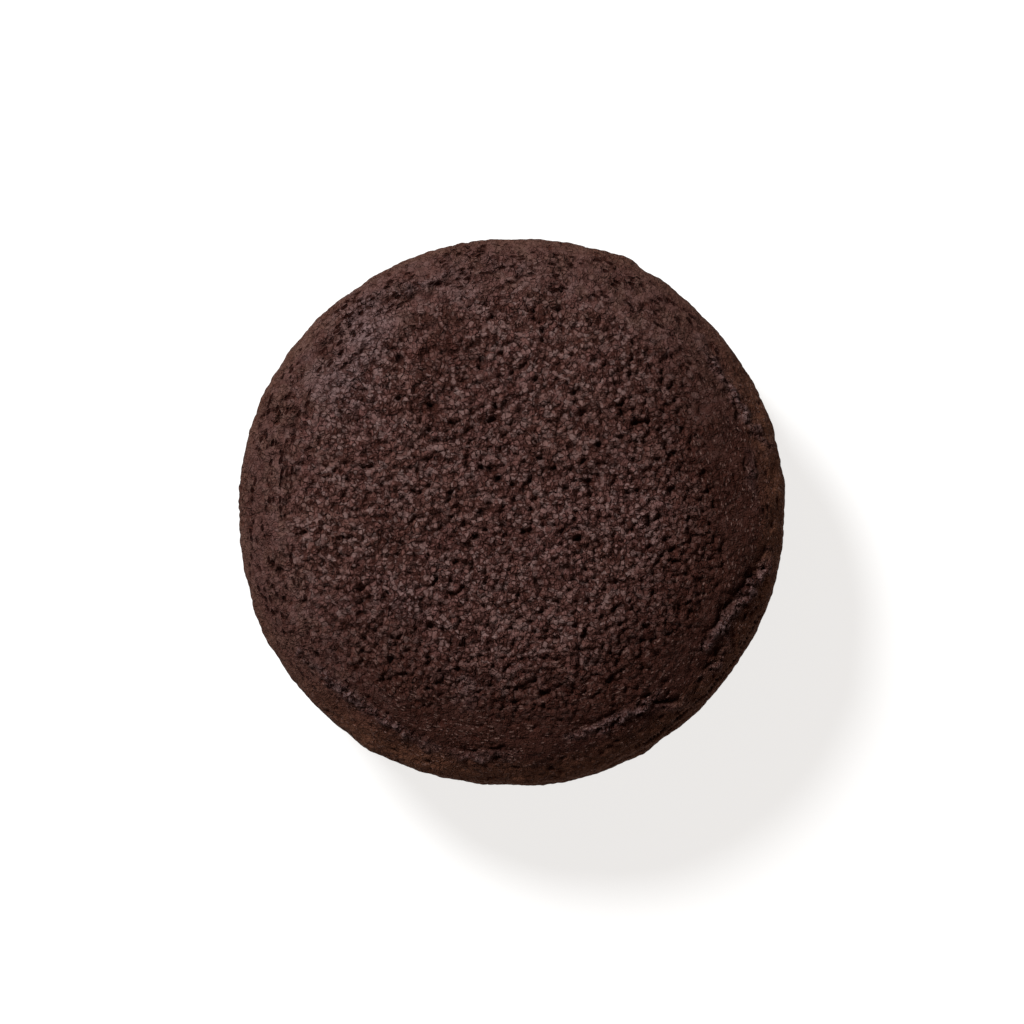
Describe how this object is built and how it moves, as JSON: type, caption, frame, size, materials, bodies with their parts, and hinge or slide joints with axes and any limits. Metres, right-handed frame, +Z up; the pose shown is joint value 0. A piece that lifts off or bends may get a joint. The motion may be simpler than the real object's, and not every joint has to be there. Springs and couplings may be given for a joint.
{
  "type": "chocolate sandwich cookie",
  "caption": "Round chocolate sandwich cookie: domed, crackled dark cookies with a disc of pale creme between their flat sides.",
  "frame": {"origin": "bottom centre of the cookie's box, in the flat spot that the lower cookie rests on", "axes": "+Z up through both crowns; +X is the picture's right and +Y its top, seen from straight above"},
  "size_m": [0.0599, 0.0602, 0.0223],
  "materials": {
    "chocolate_crumb": "matt dark baked crumb with a slight oily sheen",
    "vanilla_creme": "soft satin off-white creme"
  },
  "bodies": {
    "root": {"upper_cookie": "chocolate_crumb", "creme_filling": "vanilla_creme", "lower_cookie": "chocolate_crumb"}
  },
  "joints": []
}
